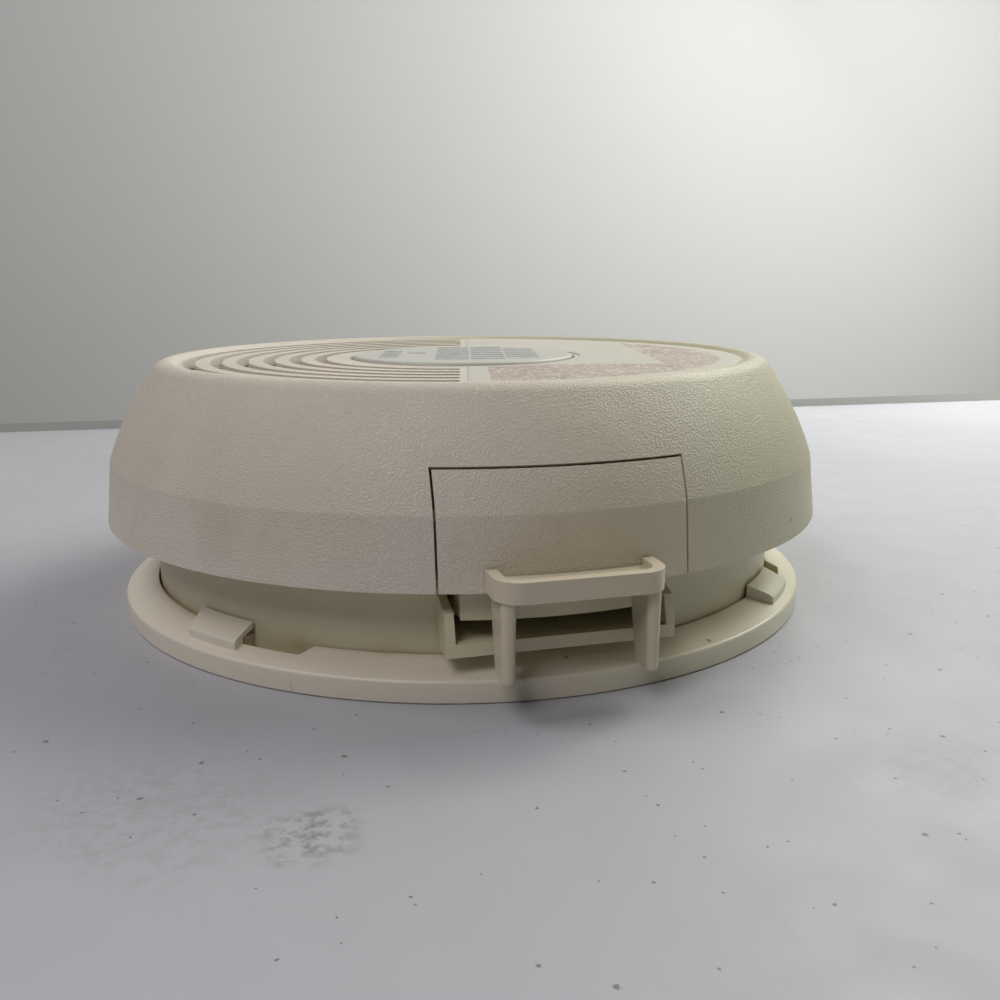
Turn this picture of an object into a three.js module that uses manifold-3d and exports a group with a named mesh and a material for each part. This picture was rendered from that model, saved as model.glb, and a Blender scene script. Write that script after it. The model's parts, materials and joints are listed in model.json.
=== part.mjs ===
// Mains smoke alarm with a battery drawer, standing on its twist-lock mounting ring.
// Millimetres, +Z from the ring's back face to the alarm's face, drawer towards -Y.
import * as THREE from 'three';
import { mergeVertices } from 'three/addons/utils/BufferGeometryUtils.js';
import Module from 'manifold-3d';

const wasm = await Module();
wasm.setup();

// ---- driving dimensions ----
const GAP = 0.3;

// Flats round a large turned shape, a slot ring and a small one.
const BIG_STEPS = 60;
const SLOT_STEPS = 48;
const SMALL_STEPS = 20;

// The ring's top slopes up from its edge's height to its land height at the bore.
const RING = { radius: 70, height: 3.8, land: 5.8, skin: 1.6, rim: 1.8, edge: 0.6, bore: 63.8, opening: 27 };
const POCKET = { radius: 66.2, wall: 1.5, top: 4.2, notchTurn: 10.5 };
const HOOK = { inner: 63.9, wall: 66.4, outer: 68.2, root: 3.6, roof: 6.1, outerTop: 6.1, innerTop: 7.95 };
const HOOK_TURN = { whole: 10, end: 1.3, lean: 2 };
const HOOK_STARTS = [-56.4, 43.5, 123.6, 223.5];
const TAB = { outer: 65.8, bottom: 3.4, top: 5.7, turn: 8, clear: 0.3 };
const KEYHOLE = { width: 4.6, length: 9, entry: 4.4, alongX: 41.65, alongY: 44.45 };

const COVER = {
  hem: { r: 72.2, z: 18.3 },
  belt: { r: 71, z: 29.7 },
  shoulder: { r: 62.22, z: 46.57 },
  crest: { r: 59.38, z: 48.1 },
  bulge: 0.75,
  wall: 2,
  face: 47.3,
  recess: 57.6,
};
const RIM = { r: 59.38, z: 44.7, radius: 3.4 };

const SPLIT_TURN = -12.75;
const SLOT = { count: 6, first: 56.5, pitch: 5.15, width: 2.4, inset: 0.6 };
const SPOKE = { count: 5, width: 1.6, inner: 25.4, outer: 58, depth: 1.4 };
const LABEL = { inner: 24.6, outer: 56.9, sheet: 0.3, pocket: 0.6 };

const BUTTON = { radius: 23, top: 47.9, flange: 24.8, flangeBase: 43.3, flangeTop: 44.9, boss: 2.4 };
const STEM = { x: 9, y: 12, radius: 1.4, tip: 19.2 };
const SPRING = { radius: 3.6, wire: 0.35, turns: 5, base: 33.7, top: 42.7 };

const BASE = { radius: 63.4, wall: 1.6, bottom: 2.2, floor: 4, flange: 17.2, lip: 68.6, lipTop: 21.5 };
const BAY = { half: 17.1, wall: 1.45, front: -68.3, back: -10, bottom: 7.6, floor: 9.3, bar: 9.7, top: 24 };
const COLUMN = { radius: 4.4, bore: 2.9, boreBase: 10, top: 33 };

const DOOR = { half: 19.8, top: 36.2, gap: 0.5 };
const TRAY = { half: 16, wall: 1.6, bottom: 12.9, floor: 13.9, side: 24, back: -13.4, skirt: 68.4, top: 32 };
const PULL = { half: 13.2, front: -79, wall: 1.8, top: 22, bottom: 18.75, corner: 4.2, legX: 11.15, legY: -76.4, tip: 5.9 };
const BATTERY = { half: 13.1, front: -61.9, back: -15.8, bottom: 14.2, top: 31.6, snapX: 6.35, tip: -13.1 };

const BOARD = { radius: 54, bottom: 12, top: 13.6 };
const SEAT = BOARD.top + GAP;
const COVER_SCREWS = [-105, 45, 135].map((turn) => polar(50, turn));
const BOARD_SCREWS = [[26, -14], [2, 46], [-44, -26]];
const CHAMBER = { x: -22, y: 27, radius: 18.8 };
const HORN = { x: -35.5, y: -12, radius: 17.3, wall: 1.6, bottom: 27, top: 41 };
const INLET = { half: 13, front: 7, back: 23, wall: 1.4, mouth: 2.5, top: 11.7 };

// ---- places and shapes ----

// A point at a radius and a turn in degrees, counted from -Y towards +X.
function polar(radius, turn) {
  const angle = THREE.MathUtils.degToRad(turn - 90);
  return [radius * Math.cos(angle), radius * Math.sin(angle)];
}

// Turns a closed geometry into a solid, with its faces pointing out.
function solid(geometry) {
  const bare = geometry.clone();
  bare.deleteAttribute('normal');
  bare.deleteAttribute('uv');
  const merged = mergeVertices(bare, 1e-4);
  const points = merged.attributes.position.array;
  const corners = merged.index.array;
  const kept = [];
  let volume = 0;
  for (let i = 0; i < corners.length; i += 3) {
    const [a, b, c] = [corners[i], corners[i + 1], corners[i + 2]];
    if (a === b || b === c || c === a) continue;
    kept.push(a, b, c);
    const [p, q, r] = [a, b, c].map((n) => new THREE.Vector3().fromArray(points, 3 * n));
    volume += p.dot(q.cross(r));
  }
  if (volume < 0) kept.reverse();
  const mesh = new wasm.Mesh({
    numProp: 3,
    vertProperties: new Float32Array(points),
    triVerts: new Uint32Array(kept),
  });
  return new wasm.Manifold(mesh);
}

function box(x0, x1, y0, y1, z0, z1) {
  const geometry = new THREE.BoxGeometry(x1 - x0, y1 - y0, z1 - z0);
  return solid(geometry.translate((x0 + x1) / 2, (y0 + y1) / 2, (z0 + z1) / 2));
}

// A body of revolution about +Z from [radius, height] points.
function lathe(points, steps = BIG_STEPS) {
  const profile = points.map(([r, z]) => new THREE.Vector2(r, z));
  return solid(new THREE.LatheGeometry(profile, steps).rotateX(Math.PI / 2));
}

// The same with a profile that closes on itself, for rings and tubes.
function ring(points, steps = BIG_STEPS) {
  return lathe([...points, points[0]], steps);
}

function tube(outer, inner, z0, z1, steps = SMALL_STEPS) {
  return ring([[inner, z0], [outer, z0], [outer, z1], [inner, z1]], steps);
}

function cone(r0, r1, z0, z1, x = 0, y = 0, steps = SMALL_STEPS) {
  const geometry = new THREE.CylinderGeometry(r1, r0, z1 - z0, steps);
  return solid(geometry.rotateX(Math.PI / 2).translate(x, y, (z0 + z1) / 2));
}

function rod(radius, z0, z1, x = 0, y = 0, steps = SMALL_STEPS) {
  return cone(radius, radius, z0, z1, x, y, steps);
}

// A rod along Y, and one along X.
function rodY(radius, y0, y1, x, z, steps = SMALL_STEPS) {
  return solid(new THREE.CylinderGeometry(radius, radius, y1 - y0, steps).translate(x, (y0 + y1) / 2, z));
}

function rodX(radius, x0, x1, y, z, steps = 12) {
  const geometry = new THREE.CylinderGeometry(radius, radius, x1 - x0, steps).rotateZ(Math.PI / 2);
  return solid(geometry.translate((x0 + x1) / 2, y, z));
}

// An outline of [x, y] points raised from z0 to z1.
function prism(points, z0, z1) {
  const shape = new THREE.Shape(points.map(([x, y]) => new THREE.Vector2(x, y)));
  return solid(new THREE.ExtrudeGeometry(shape, { depth: z1 - z0, bevelEnabled: false }).translate(0, 0, z0));
}

// An outline of [y, z] points swept from x0 to x1.
function sidePlate(points, x0, x1) {
  const shape = new THREE.Shape(points.map(([y, z]) => new THREE.Vector2(y, z)));
  const geometry = new THREE.ExtrudeGeometry(shape, { depth: x1 - x0, bevelEnabled: false });
  const axes = [new THREE.Vector3(0, 1, 0), new THREE.Vector3(0, 0, 1), new THREE.Vector3(1, 0, 0)];
  geometry.applyMatrix4(new THREE.Matrix4().makeBasis(...axes));
  return solid(geometry.translate(x0, 0, 0));
}

// A piece of a ring between two turns in degrees. Its inner edge can start a lean earlier.
function sector(inner, outer, turn0, turn1, z0, z1, lean = 0) {
  const steps = Math.max(1, Math.ceil((turn1 - turn0) / 6));
  const arc = (radius, from) =>
    Array.from({ length: steps + 1 }, (_, i) => polar(radius, from + ((turn1 - from) * i) / steps));
  return prism([...arc(outer, turn0), ...arc(inner, turn0 - lean).reverse()], z0, z1);
}

function join(...solids) {
  return solids.reduce((whole, next) => whole.add(next));
}

function mirrored(make) {
  return join(make(1), make(-1));
}

function span(side, near, far) {
  return side > 0 ? [near, far] : [-far, -near];
}

// ---- the scene ----
const alarm = new THREE.Group();
alarm.name = 'smoke_alarm';

const finishes = {
  cover: { color: 0xd6cfbd, roughness: 0.55 },
  base: { color: 0xd0c9a8, roughness: 0.5 },
  pull: { color: 0xe0d8c6, roughness: 0.45 },
  button: { color: 0xdcdbd2, roughness: 0.5 },
  label: { color: 0xd9cbc0, roughness: 0.7 },
  board: { color: 0x2f6b43, roughness: 0.5 },
  steel: { color: 0xb8babd, roughness: 0.3, metalness: 1 },
  brass: { color: 0xc9a24e, roughness: 0.3, metalness: 1 },
  black: { color: 0x1c1c1e, roughness: 0.5 },
  white: { color: 0xe9e6df, roughness: 0.6 },
  blue: { color: 0x2e4d8f, roughness: 0.45 },
  orange: { color: 0xb4552a, roughness: 0.5 },
  red: { color: 0xb3261e, roughness: 0.2 },
  clear: { color: 0xdfe8ea, roughness: 0.1 },
};

// One named piece, and a numbered set of like pieces.
function piece(name, body, finish) {
  const { vertProperties, triVerts } = body.getMesh();
  const geometry = new THREE.BufferGeometry();
  geometry.setAttribute('position', new THREE.BufferAttribute(vertProperties, 3));
  geometry.setIndex(new THREE.BufferAttribute(triVerts, 1));
  geometry.computeVertexNormals();
  const mesh = new THREE.Mesh(geometry, new THREE.MeshStandardMaterial(finishes[finish]));
  mesh.name = name;
  alarm.add(mesh);
}

function pieces(name, bodies, finish) {
  bodies.forEach((body, i) => piece(`${name}_${i + 1}`, body, finish));
}

// ---- mounting bracket: trim ring, back plate, four twist-lock hooks ----
function bracketRing() {
  const { radius, height, land, skin, rim, edge, bore, opening } = RING;
  const slope = (land - height) / (radius - edge - bore);
  const inside = bore + 1.5;
  const top = (r) => height + slope * (radius - edge - r);
  return ring([
    [opening, 0],
    [inside, 0],
    [inside, top(inside) - skin],
    [radius - rim, top(radius - rim) - skin],
    [radius - rim, 0],
    [radius, 0],
    [radius, height - edge],
    [radius - 0.3 * edge, height - 0.3 * edge],
    [radius - edge, height],
    [bore, land],
    [bore, skin],
    [opening, skin],
  ]);
}

function keyhole(distance, turn) {
  const half = KEYHOLE.width / 2;
  const slot = join(
    box(-half, half, -distance - KEYHOLE.length / 2, -distance + KEYHOLE.length / 2, -1, RING.skin + 1),
    rod(KEYHOLE.entry, -1, RING.skin + 1, 0, -distance + KEYHOLE.length / 2),
  );
  return slot.rotate([0, 0, turn]);
}

// A hook over a tab's pocket: sloped roof, outer wall, and a closed end at its start.
function hook(start) {
  const { inner, wall, outer, root, roof, outerTop, innerTop } = HOOK;
  const { whole, end, lean } = HOOK_TURN;
  const roofRing = ring([
    [inner, roof + 0.8],
    [wall, roof - 0.2],
    [wall, root],
    [outer, root],
    [outer, outerTop - 0.5],
    [outer - 0.5, outerTop],
    [inner, innerTop],
  ]);
  const solidRing = ring([
    [inner, root],
    [outer, root],
    [outer, outerTop - 0.5],
    [outer - 0.5, outerTop],
    [inner, innerTop],
  ]);
  return join(
    roofRing.intersect(sector(inner - 1, outer + 1, start, start + whole, 0, 9, lean)),
    solidRing.intersect(sector(inner - 1, outer + 1, start, start + end, 0, 9, lean)),
  );
}

function mountingBracket() {
  let body = bracketRing();
  for (const start of HOOK_STARTS) {
    const from = start + HOOK_TURN.end;
    const to = start + HOOK_TURN.whole + POCKET.notchTurn;
    body = body.add(sector(RING.bore, POCKET.radius + POCKET.wall, from - 1.4, to + 1.4, 0, POCKET.top));
    body = body.subtract(sector(RING.bore - 1, POCKET.radius, from, to, RING.skin, 9));
    body = body.add(hook(start));
  }
  for (const turn of [0, 180]) {
    body = body.subtract(keyhole(KEYHOLE.alongY, turn));
    body = body.subtract(keyhole(KEYHOLE.alongX, turn + 90));
  }
  return body;
}

// ---- cover: sloped shell with grille slots, drawer opening and screw bosses ----

// The outside of the shell from its hem to the rim's crest.
function coverOutline() {
  const { hem, belt, shoulder, crest, bulge } = COVER;
  const points = [[hem.r, hem.z], [belt.r, belt.z]];
  const flankSteps = 4;
  const slope = new THREE.Vector2(shoulder.z - belt.z, belt.r - shoulder.r).normalize();
  for (let i = 1; i < flankSteps; i += 1) {
    const along = i / flankSteps;
    const out = bulge * 4 * along * (1 - along);
    points.push([
      belt.r + (shoulder.r - belt.r) * along + out * slope.x,
      belt.z + (shoulder.z - belt.z) * along + out * slope.y,
    ]);
  }
  const shoulderAngle = Math.atan2(shoulder.z - RIM.z, shoulder.r - RIM.r);
  const rimSteps = 3;
  for (let i = 0; i < rimSteps; i += 1) {
    const angle = shoulderAngle + ((Math.PI / 2 - shoulderAngle) * i) / rimSteps;
    points.push([RIM.r + RIM.radius * Math.cos(angle), RIM.z + RIM.radius * Math.sin(angle)]);
  }
  points.push([crest.r, crest.z]);
  return points;
}

// The inside of the shell's flank, one wall in from the outside.
function coverInside() {
  const { hem, belt, shoulder, wall } = COVER;
  return [[hem.r - wall, hem.z], [belt.r - wall, belt.z], [shoulder.r - wall - 0.6, shoulder.z - wall]];
}

function coverShell() {
  const { face, wall, recess } = COVER;
  const hole = BUTTON.radius + 0.5;
  return ring([
    ...coverOutline(),
    [recess + 0.9, COVER.crest.z - 0.1],
    [recess, face],
    [hole, face],
    [hole, face - wall],
    [recess, face - wall],
    ...coverInside().reverse(),
  ]);
}

// The half of the face on one side of the split line, kept clear of it by an inset.
function halfFace(side, inset, z0, z1) {
  const reach = 80;
  const [x0, x1] = span(side, inset, reach);
  return box(x0, x1, -reach, reach, z0, z1).rotate([0, 0, SPLIT_TURN]);
}

function grilleSlots() {
  const { count, first, pitch, width, inset } = SLOT;
  const [z0, z1] = [COVER.face - COVER.wall - 1, COVER.crest.z + 1];
  const rings = Array.from({ length: count }, (_, i) => {
    const outer = first - i * pitch;
    return tube(outer, outer - width, z0, z1, SLOT_STEPS);
  });
  return join(...rings).intersect(halfFace(-1, inset, z0, z1));
}

// Ribs across the back of the grille that carry its rings.
function grilleSpokes() {
  const { count, width, inner, outer, depth } = SPOKE;
  const top = COVER.face - COVER.wall + 0.1;
  const spokes = Array.from({ length: count }, (_, i) => {
    const turn = SPLIT_TURN - 8 - (164 * i) / (count - 1);
    return box(-width / 2, width / 2, -outer, -inner, top - depth, top).rotate([0, 0, turn]);
  });
  return join(...spokes);
}

function drawerOpening() {
  const half = DOOR.half + DOOR.gap;
  return box(-half, half, -80, -40, 10, DOOR.top + DOOR.gap);
}

function cover() {
  const labelPocket = tube(LABEL.outer + GAP, LABEL.inner - GAP, COVER.face - LABEL.pocket, 50, BIG_STEPS);
  const labelHalf = halfFace(1, GAP, COVER.face - LABEL.pocket, 50);
  let body = coverShell().subtract(grilleSlots()).add(grilleSpokes());
  body = body.subtract(labelPocket.intersect(labelHalf));
  body = body.subtract(drawerOpening());
  for (const [x, y] of COVER_SCREWS) {
    body = body.add(tube(3.6, 1.5, 16.4, COVER.face - 1, SMALL_STEPS).translate([x, y, 0]));
  }
  return body;
}

function faceLabel() {
  const base = COVER.face - LABEL.pocket + GAP;
  const sheet = tube(LABEL.outer, LABEL.inner, base, base + LABEL.sheet, BIG_STEPS);
  return sheet.intersect(halfFace(1, 2 * GAP, base - 1, base + 1));
}

// ---- base housing: dish, twist-lock tabs, drawer bay, column, screw wells ----
function baseDish() {
  const { radius, wall, bottom, floor, flange, lip, lipTop } = BASE;
  const inside = radius - wall;
  return lathe([
    [0, bottom],
    [radius - 0.6, bottom],
    [radius, bottom + 0.6],
    [radius, flange - 1],
    [radius + 1, flange],
    [lip, flange],
    [lip, lipTop],
    [lip - 1.4, lipTop],
    [lip - 1.4, flange + wall],
    [inside, flange + wall],
    [inside, floor],
    [0, floor],
  ]);
}

// A side wall of the drawer bay, with the sloped corner of its front fin.
function bayWall(side) {
  const outline = [
    [BAY.front, BAY.bottom],
    [BAY.front + 0.1, 10.4],
    [BAY.front + 1.3, 14.4],
    [-61.6, 15.8],
    [-61.6, BAY.top],
    [BAY.back, BAY.top],
    [BAY.back, 3],
    [-46, 3],
    [-46, BAY.bottom],
  ];
  return sidePlate(outline, ...span(side, BAY.half, BAY.half + BAY.wall));
}

function bayRail(side) {
  return box(...span(side, 14.6, BAY.half + 0.5), -58, -12, 10.8, TRAY.bottom - 0.4);
}

function drawerBay() {
  const outer = BAY.half + BAY.wall;
  const contactWindow = box(-10.5, 10.5, BAY.back - 3, BAY.back + 1, TRAY.bottom, BAY.top + 1);
  const rearWall = box(-outer, outer, BAY.back - 1.6, BAY.back, 3, BAY.top).subtract(contactWindow);
  return join(
    mirrored(bayWall),
    mirrored(bayRail),
    rearWall,
    box(-outer, outer, BAY.front, BAY.back, BAY.bottom, BAY.floor),
    box(-outer, outer, BAY.front, BAY.front + 1.6, BAY.bottom, BAY.bar),
  );
}

function baseHousing() {
  let body = baseDish();
  body = body.subtract(box(-BAY.half, BAY.half, -75, -50, BAY.floor, 30));
  body = body.add(drawerBay());
  body = body.subtract(box(-BAY.half, BAY.half, -75, BAY.front + 1.6, BAY.bar, 30));
  body = body.add(rod(COLUMN.radius, 3, COLUMN.top));
  body = body.subtract(rod(COLUMN.bore, COLUMN.boreBase, COLUMN.top + 1));
  for (const [x, y] of BOARD_SCREWS) {
    body = body.add(rod(2.6, 3, BOARD.bottom - GAP, x, y));
    body = body.subtract(rod(1.1, 6, BOARD.bottom, x, y, 12));
  }
  for (const [x, y] of COVER_SCREWS) {
    body = body.add(rod(4.4, 3, 16, x, y));
    body = body.subtract(rod(3.3, 1, 14.4, x, y));
    body = body.subtract(rod(1.5, 13, 17, x, y));
  }
  body = body.subtract(box(-INLET.half - GAP, INLET.half + GAP, INLET.front - GAP, INLET.back + GAP, 1, 5));
  for (const start of HOOK_STARTS) {
    const from = start + HOOK_TURN.end + TAB.clear;
    body = body.add(sector(BASE.radius - 1, TAB.outer, from, from + TAB.turn, TAB.bottom, TAB.top));
  }
  return body;
}

// ---- circuit board and what stands on it ----
function circuitBoard() {
  let body = lathe([[0, BOARD.bottom], [BOARD.radius, BOARD.bottom], [BOARD.radius, BOARD.top], [0, BOARD.top]]);
  body = body.subtract(box(-19.3, 19.3, -60, BAY.back + 0.4, 10, 15));
  body = body.subtract(rod(COLUMN.radius + 0.5, 10, 15));
  for (const [x, y] of COVER_SCREWS) body = body.subtract(rod(5, 10, 15, x, y));
  for (const [x, y] of BOARD_SCREWS) body = body.subtract(rod(1.2, 10, 15, x, y, 12));
  return body;
}

function powerInlet() {
  const { half, front, back, wall, mouth, top } = INLET;
  const shell = box(-half, half, front, back, mouth, top);
  const cavity = box(-half + wall, half - wall, front + wall, back - wall, mouth - 1, top - 1.2);
  let body = shell.subtract(cavity);
  for (const x of [-6, 0, 6]) body = body.subtract(box(x - 1.5, x + 1.5, 10.3, 11.9, 9, 13));
  return body;
}

function inletPins() {
  return [-6, 0, 6].map((x) => box(x - 1.2, x + 1.2, 10.6, 11.6, 4, BOARD.bottom - 0.2));
}

function atChamber(body) {
  return body.translate([CHAMBER.x, CHAMBER.y, 0]);
}

function chamberBase() {
  const floor = 16.5;
  let body = rod(CHAMBER.radius, SEAT, floor, 0, 0, 36);
  for (const turn of [30, 150, 270]) {
    const [x, y] = polar(10, turn);
    body = body.add(rod(1.2, floor - 0.5, 22.7, x, y, 12));
  }
  return atChamber(body);
}

function chamberShield() {
  const [outer, inner, bottom, top] = [17.6, 17, 16.8, 34];
  let body = lathe([[inner, bottom], [outer, bottom], [outer, top], [0, top], [0, top - 0.6], [inner, top - 0.6],
    [inner, bottom]], 36);
  for (let turn = 0; turn < 360; turn += 45) {
    body = body.subtract(sector(inner - 1, outer + 1, turn, turn + 30, 23, 31));
    body = body.subtract(sector(6, 13, turn, turn + 30, top - 2, top + 1));
  }
  return atChamber(body);
}

function hornHousing() {
  const { radius, wall, bottom, top } = HORN;
  const inside = radius - wall;
  let body = ring([
    [inside, bottom],
    [radius, bottom],
    [radius, top],
    [5, top],
    [5, top - wall],
    [inside, top - wall],
    [inside, 35.3],
    [14, 35.3],
    [14, 34.3],
    [inside, 34.3],
  ], 36);
  for (const turn of [30, 150, 270]) {
    const [x, y] = polar(radius - 2.7, turn);
    body = body.add(rod(1.8, SEAT, bottom + 1.5, x, y, 16));
  }
  return body.translate([HORN.x, HORN.y, 0]);
}

function hornContacts() {
  return [0, 7, 12.5].map((x) => rod(0.5, SEAT, 33.1, HORN.x + x, HORN.y, 8));
}

const LED = { x: -38.8, y: 8.3 };

function statusLed() {
  const dome = [[0, SEAT], [1.7, SEAT], [1.7, 15], [1.5, 15], [1.5, 17.5], [1.3, 18.3], [0.8, 18.8], [0, 19]];
  return lathe(dome, 16).translate([LED.x, LED.y, 0]);
}

function lightPipe() {
  const stalk = [[2.1, SEAT], [2.8, SEAT], [2.8, 19.3], [1.3, 20.6], [1.3, 43.7], [0, 43.7], [0, 19.3], [2.1, 19.3],
    [2.1, SEAT]];
  return lathe(stalk, 16).translate([LED.x, LED.y, 0]);
}

function switchBlade() {
  const outline = [[17, SEAT], [20, SEAT], [20, SEAT + 0.4], [18, SEAT + 0.4], [18, 17.4], [6.6, 17.4], [6.6, 17],
    [17.6, 17], [17.6, SEAT + 0.4], [17, SEAT + 0.4]];
  const shape = new THREE.Shape(outline.map(([x, z]) => new THREE.Vector2(x, z)));
  const geometry = new THREE.ExtrudeGeometry(shape, { depth: 2.8, bevelEnabled: false });
  return solid(geometry.rotateX(Math.PI / 2).translate(0, STEM.y + 1.4, 0));
}

function switchPost() {
  return cone(1.5, 1.1, SEAT, 16.4, STEM.x, STEM.y, 16);
}

function varistor() {
  const legs = [-2.5, 2.5].map((x) => rod(0.4, SEAT, 17, 44 + x, -12, 8));
  return join(rodY(5, -14, -10, 44, 20), ...legs);
}

function controllerChip() {
  let body = box(12, 32, 20.6, 27.4, 14.5, 17.9);
  for (let i = 0; i < 8; i += 1) {
    const x = 13.1 + 2.54 * i;
    for (const [y0, y1] of [[19.7, 20.9], [27.1, 28.3]]) body = body.add(box(x - 0.35, x + 0.35, y0, y1, SEAT, 16));
  }
  return body;
}

// Axial resistors in two rows, each bent down on its leads.
function resistors() {
  const places = [[10, 32], [10, 37], [22, 32], [22, 37]];
  return places.map(([x, y]) => join(
    rodX(1.1, x - 3, x + 3, y, 15.4),
    rodX(0.3, x - 4, x + 4, y, 15.4, 6),
    rod(0.3, SEAT, 15.6, x - 4, y, 6),
    rod(0.3, SEAT, 15.6, x + 4, y, 6),
  ));
}

// A sprung strip that stands on the board and presses on a battery snap.
function batteryContact(x) {
  const middle = (BATTERY.bottom + BATTERY.top) / 2;
  return join(
    box(x - 2.5, x + 2.5, -9.2, -5.4, SEAT, SEAT + 0.5),
    box(x - 2.5, x + 2.5, -9.2, -8.7, SEAT, 27),
    rodY(2, -12.7, -9, x, middle, 16),
  );
}

function coverScrews() {
  return COVER_SCREWS.map(([x, y]) => join(
    rod(2.8, 12.2, 14.1, x, y, 16),
    rod(1.2, 14, 34, x, y, 12),
  ));
}

function boardScrews() {
  return BOARD_SCREWS.map(([x, y]) => join(
    rod(2.2, SEAT, 15.3, x, y, 16),
    rod(0.8, 7, SEAT + 0.2, x, y, 12),
  ));
}

// ---- battery drawer, its pull and the battery ----
function drawerPanel() {
  const skin = ring([...coverOutline().slice(0, 6), ...coverInside().reverse()]);
  return skin.intersect(box(-DOOR.half, DOOR.half, -80, -40, 10, DOOR.top));
}

// The curved wall below and behind the panel.
function drawerSkirt() {
  const { half, bottom, skirt, top } = TRAY;
  return tube(skirt, skirt - 1.5, bottom, top, BIG_STEPS).intersect(box(-half, half, -80, -40, 10, top));
}

function batteryDrawer() {
  const { half, wall, bottom, floor, side, back, skirt } = TRAY;
  const inner = half - wall;
  const front = -skirt + 3;
  return join(
    drawerPanel(),
    drawerSkirt(),
    box(-half, half, front, back, bottom, floor),
    mirrored((turn) => box(...span(turn, inner, half), front, back, bottom, side)),
    box(-half, half, back - 1.5, back, bottom, 17),
  );
}

function roundedFront(half, front, corner, back) {
  const shape = [[half, back]];
  for (let i = 0; i <= 6; i += 1) {
    const angle = (Math.PI / 2) * (i / 6);
    shape.push([half - corner + corner * Math.cos(angle), front + corner - corner * Math.sin(angle)]);
  }
  const left = shape.map(([x, y]) => [-x, y]).reverse();
  return [...shape, ...left];
}

function pullLeg(side) {
  const { bottom, legX, legY, tip } = PULL;
  const top = bottom + 0.5;
  const back = [[-69.3, top], [-72.1, tip + 1.3], [-72.8, tip + 0.35], [-73.9, tip]];
  const plate = sidePlate([...back, [legY, tip], [legY, top]], ...span(side, legX - 0.95, legX + 0.9));
  return plate.add(cone(0.95, 1.2, tip, top, side * legX, legY, 16));
}

function drawerPull() {
  const { half, front, wall, top, bottom, corner } = PULL;
  const [ledgeBottom, ledgeTop] = [19.4, 20.9];
  const pocket = roundedFront(half - wall, front + wall, corner - wall, -69);
  const clearance = lathe([[0, 18], [COVER.hem.r + GAP, 18], [COVER.belt.r + GAP, COVER.belt.z], [0, COVER.belt.z]]);
  const rim = prism(roundedFront(half, front, corner, -69.5), bottom, top)
    .subtract(prism(pocket, ledgeTop, top + 1))
    .subtract(prism(pocket, bottom - 1, ledgeBottom));
  return join(rim, mirrored(pullLeg)).subtract(clearance);
}

function batteryCase() {
  const { half, front, back, bottom, top } = BATTERY;
  return box(-half, half, front, back, bottom, top);
}

function batterySnaps() {
  const { back, bottom, top, snapX, tip } = BATTERY;
  const middle = (bottom + top) / 2;
  return join(
    box(-12.6, 12.6, back + GAP, back + GAP + 0.5, bottom + 0.6, top - 0.6),
    rodY(2.9, back + GAP, tip, -snapX, middle),
    rodY(4.2, back + GAP, tip, snapX, middle, 6),
  );
}

// ---- test button and its return spring ----
function testButton() {
  const { radius, top, flange, flangeBase, flangeTop, boss } = BUTTON;
  const cap = lathe([[0, flangeBase], [flange, flangeBase], [flange, flangeTop], [radius, flangeTop],
    [radius, top - 0.6], [radius - 0.6, top], [0, top]]);
  return join(cap, rod(boss, 26, flangeBase + 1), rod(STEM.radius, STEM.tip, flangeBase + 1, STEM.x, STEM.y, 16));
}

class Helix extends THREE.Curve {
  getPoint(t, target = new THREE.Vector3()) {
    const angle = 2 * Math.PI * SPRING.turns * t;
    const height = SPRING.base + (SPRING.top - SPRING.base) * t;
    return target.set(SPRING.radius * Math.cos(angle), SPRING.radius * Math.sin(angle), height);
  }
}

function buttonSpring() {
  const section = Array.from({ length: 6 }, (_, i) => {
    const angle = (Math.PI / 3) * i;
    return new THREE.Vector2(SPRING.wire * Math.cos(angle), SPRING.wire * Math.sin(angle));
  });
  return solid(new THREE.ExtrudeGeometry(new THREE.Shape(section), {
    steps: 56,
    bevelEnabled: false,
    extrudePath: new Helix(),
  }));
}

piece('mounting_bracket', mountingBracket(), 'base');
piece('base_housing', baseHousing(), 'base');
piece('cover', cover(), 'cover');
piece('face_label', faceLabel(), 'label');
piece('test_button', testButton(), 'button');
piece('button_spring', buttonSpring(), 'steel');
piece('battery_drawer', batteryDrawer(), 'cover');
piece('drawer_pull', drawerPull(), 'pull');
piece('battery_case', batteryCase(), 'black');
piece('battery_snaps', batterySnaps(), 'steel');
piece('battery_contact_positive', batteryContact(-BATTERY.snapX), 'steel');
piece('battery_contact_negative', batteryContact(BATTERY.snapX), 'steel');
piece('circuit_board', circuitBoard(), 'board');
piece('power_inlet', powerInlet(), 'white');
pieces('inlet_pin', inletPins(), 'steel');
piece('chamber_base', chamberBase(), 'white');
piece('source_holder', atChamber(cone(4, 3.2, 16.8, 18.6)), 'steel');
piece('collector_plate', atChamber(tube(12, 4, 23, 23.6, 36)), 'steel');
piece('chamber_shield', chamberShield(), 'steel');
piece('insect_screen', atChamber(tube(18.5, 18, 16.8, 33.4, 36)), 'black');
piece('horn_housing', hornHousing(), 'black');
piece('piezo_disc', rod(15.2, 33.4, 34, HORN.x, HORN.y, 36), 'brass');
pieces('horn_contact', hornContacts(), 'steel');
piece('status_led', statusLed(), 'red');
piece('light_pipe', lightPipe(), 'clear');
piece('test_switch_blade', switchBlade(), 'steel');
piece('test_switch_post', switchPost(), 'brass');
piece('dropper_capacitor', box(24, 50, -4, 6, SEAT, 31), 'orange');
piece('filter_capacitor', rod(5, SEAT, 34, 28, -26), 'blue');
piece('varistor', varistor(), 'blue');
piece('horn_coil', tube(4.5, 1.2, SEAT, 23).translate([42, 18, 0]), 'black');
piece('controller_chip', controllerChip(), 'black');
pieces('resistor', resistors(), 'blue');
pieces('cover_screw', coverScrews(), 'steel');
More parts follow.
